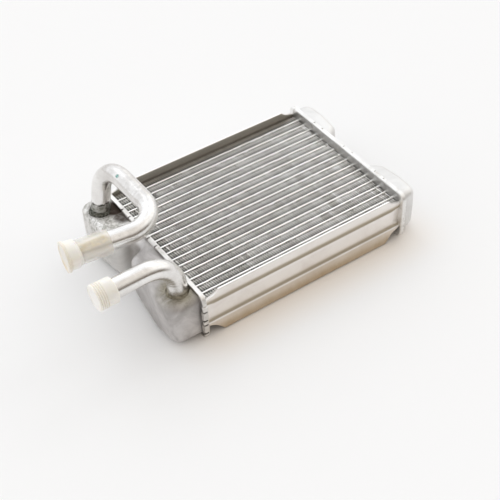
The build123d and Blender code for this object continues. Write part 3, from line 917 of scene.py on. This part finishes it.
near_bead = bead((-123.2, -66.4, tank_top), (0, 0, 1), 1.0)
far_bead = bead((-126.7, 65.4, tank_top), (11.1, 4.2, 53.4), 2.3)
piece("bead_near", near_bead, bead_metal, ["weld_near"], smooth=60)
piece("bead_far", far_bead, bead_metal, ["weld_far"], smooth=60)


# Transit caps: soft milky plastic moulded in one piece each and pushed over
# the pipe ends. Light goes a little way into them, so their shaded sides
# glow warm; the far cap's underside is painted warm as well. The near one has
# fine rings round its closed end, with painted shade in them. The far cap's
# closed end has painted shade, and its sleeve a painted reflection stripe.

milky = Finish("milky_plastic", transmission_weight=0.08, ior=1.36, subsurface_weight=0.30)
milky.feed("Subsurface Scale", 0.005)
milky.shader.inputs["Subsurface Radius"].default_value = (1.0, 0.8, 0.55)
place = milky.where()
x_at, y_at, z_at = milky.axes(place)
swirl = milky.cloud(place, 90.0, 3.0, 0.5, 0.8)
grime = milky.cloud(place, 140.0, 3.0, 0.6).rise(0.55, 0.80)
far_one = y_at.rise(-0.045, -0.030)
# Painted shade: the far cap's underside is painted a warm gold.
below = z_at.rise(0.0840, 0.0770) * far_one
plain = milky.mix(swirl.rise(0.3, 0.7), (1.0, 0.965, 0.895), (0.99, 0.945, 0.86))
# Painted shade: the far cap's closed end is painted darker.
painted_end_shade = x_at.rise(-0.1950, -0.1965) * far_one
cap_sides = 72
near_rings, ring_pitch, near_cap_end = 4, 1.9, -198.7
# Painted shade: the grooves round the near cap's closed end are painted darker.
ring_groove_shade = 0.0
for ring_number in range(1, near_rings + 1):
    cut_at = round((near_cap_end + ring_number * ring_pitch) * MM, 4)
    ring_groove_shade = (x_at - cut_at).size().rise(0.0006, 0.0002) + ring_groove_shade
ring_groove_shade = ring_groove_shade * (1.0 - far_one)
sleeve = x_at.rise(-0.1862, -0.1850) * far_one
plain = milky.mix(sleeve * 0.4, plain, (0.99, 0.92, 0.76))
# Painted reflection: a golden stripe is painted on the far cap's sleeve for the pipe's reflection seen
# through it, and the sleeve is made less clear there.
painted_reflection_stripe = z_at.rise(0.0960, 0.0986) * z_at.rise(0.1011, 0.0998) * y_at.rise(-0.0150, -0.0185) * sleeve
painted_reflection_stripe = painted_reflection_stripe * (0.25 + swirl.rise(0.35, 0.6) * 0.75) * x_at.rise(-0.1575, -0.1640)
plain = milky.mix(painted_reflection_stripe * 0.7, plain, (0.68, 0.56, 0.33))
plain = milky.mix((painted_end_shade * 0.35).larger(ring_groove_shade * 0.35), plain, (0.66, 0.58, 0.46))
milky.feed("Base Color", milky.mix((grime * 0.15).larger(below * 0.6), plain, (0.78, 0.64, 0.42)))
milky.feed("Alpha", 1.0 - sleeve * 0.76 + painted_reflection_stripe * 0.25)
milky.feed("Roughness", 0.30 + swirl * 0.10)
milky.feed("Normal", milky.bump(swirl * 0.8 + grime * 0.2, 0.10, 0.00015))


def turned(end, way, profile):
    """A profile of (radius, distance back from the closed end) turned about the pipe's axis."""
    end, way = np.array(end), np.array(way, float)
    way /= np.linalg.norm(way)
    across, other = square_to(way, [0.0, 0.0, 1.0])
    rings = []
    for radius, back in profile:
        ring = []
        for k in range(cap_sides):
            angle = 2 * math.pi * k / cap_sides
            ring.append(end - way * back + (across * math.cos(angle) + other * math.sin(angle)) * radius)
        rings.append(ring)
    return [skin(rings)]


near_profile = [(0.02, 0.5), (7.5, 0.45), (9.6, 0.25), (11.0, 0.0), (11.7, 0.25), (12.0, 0.9)]
for ring_number in range(1, near_rings + 1):
    at = ring_number * ring_pitch
    width = 12.0 - 0.4 * at / 18.2
    near_profile += [(width, at - 0.45), (width - 0.5, at), (width, at + 0.45)]
near_profile += [(11.8, 9.5), (11.75, 12.0), (11.65, 16.6), (11.5, 17.7), (11.1, 18.2), (9.5, 18.1)]
near_profile += [(9.05, 17.4), (9.05, 2.0), (0.02, 2.0)]
far_profile = [(0.02, 0.9), (9.5, 0.85), (10.8, 0.75), (11.4, 0.15), (12.2, 0.0), (13.5, 0.1)]
far_profile += [(14.0, 0.6), (14.0, 2.5), (13.6, 3.0), (12.9, 3.2), (12.7, 3.8), (12.7, 10.6)]
far_profile += [(12.3, 11.4), (11.4, 12.3), (11.2, 13.0), (11.2, 24.0), (11.2, 33.0), (11.15, 40.7)]
far_profile += [(10.9, 41.3), (10.2, 41.5), (9.2, 41.4), (9.05, 40.6), (9.05, 2.0), (0.02, 2.0)]
near_cap = turned((near_cap_end, -67.0, 86.5), (-75.5, -0.6, -1.3), near_profile)
far_cap = turned((-198.4, -13.1, 89.9), (-92.5, 10.3, 1.1), far_profile)
piece("cap_cup_near", near_cap, milky, ["cap_near"], smooth=35)
piece("cap_cup_far", far_cap, milky, ["cap_far"], smooth=35)


# The ground is a white sheet in a bright room: pale walls, lighter beyond the
# far side plate, dark furniture low down on the near side, and two soft lamps.
# A warm shade is painted on the sheet in front of the near side plate.

ground = Finish("white_ground", roughness=0.8)
east_at, north_at, _ = ground.axes()
# Painted shade: a warm tint is painted on the ground in front of the near side plate.
painted_warm_shade_near_plate = north_at.rise(-0.135, -0.088) * north_at.rise(0.02, -0.08)
painted_warm_shade_near_plate = painted_warm_shade_near_plate * east_at.rise(-0.150, -0.095) * east_at.rise(0.170, 0.095)
ground.feed("Base Color", ground.mix(painted_warm_shade_near_plate * 0.60, (0.906, 0.914, 0.924), (0.93, 0.85, 0.76)))
sheet_mesh = bpy.data.meshes.new("ground_sheet")
reach = 30.0
sheet_corners = [(-reach, -reach, 0), (reach, -reach, 0), (reach, reach, 0), (-reach, reach, 0)]
sheet_mesh.from_pydata(sheet_corners, [], [[0, 1, 2, 3]])
sheet_mesh.materials.append(ground.material)
ground_sheet = bpy.data.objects.new("ground_sheet", sheet_mesh)
bpy.context.collection.objects.link(ground_sheet)

for name, toward, strength, angle in (
    ("lamp_right", (0.977, 0.287, 1.0), 0.10, 20.0),
    ("lamp_back", (0.046, 0.847, 1.0), 0.09, 24.0),
):
    lamp = bpy.data.lights.new(name, "SUN")
    lamp.energy = strength
    lamp.angle = math.radians(angle)
    lamp_object = bpy.data.objects.new(name, lamp)
    lamp_object.rotation_euler = Vector(toward).to_track_quat("Z", "Y").to_euler()
    bpy.context.collection.objects.link(lamp_object)

room = bpy.data.worlds.new("room")
room.use_nodes = True
bpy.context.scene.world = room
sky = Wiring(room.node_tree)
ways = sky.node("ShaderNodeTexCoord", output="Generated")
east, north, height = sky.axes(ways)
walls = sky.mix(north.rise(-0.30, 0.45), (0.91, 0.86, 0.805), (1.17, 1.195, 1.23))
walls = sky.mix(east.rise(0.35, 0.85) * height.rise(0.02, 0.30), walls, (1.28, 1.27, 1.25))
furniture = north.rise(-0.25, -0.70) * height.rise(0.70, 0.14)
above = sky.mix(furniture, walls, (0.13, 0.10, 0.07))
far_wall = height.size().rise(0.24, 0.08)
room_light = sky.mix(far_wall * (1.0 - furniture), above, (0.84, 0.83, 0.82))
sky.join(room.node_tree.nodes["Background"].inputs["Color"], room_light)

bpy.context.scene.view_settings.view_transform = "Standard"


# The camera stands where the photographer did, above and in front of the
# pipe end, held a little off level.

lens = bpy.data.cameras.new("photo_camera")
lens.lens = 74.17
lens.sensor_width = 36.0
lens.clip_start = 0.05
lens.clip_end = 90.0
photo_camera = bpy.data.objects.new("photo_camera", lens)
right_hand = (0.82586, -0.56298, -0.03175)
upward = (0.41024, 0.56127, 0.71881)
backward = (-0.38685, -0.60666, 0.69449)
turn = Matrix((right_hand, upward, backward)).transposed().to_4x4()
photo_camera.matrix_world = Matrix.Translation((-0.39931, -0.61785, 0.68570)) @ turn
bpy.context.collection.objects.link(photo_camera)
bpy.context.scene.camera = photo_camera
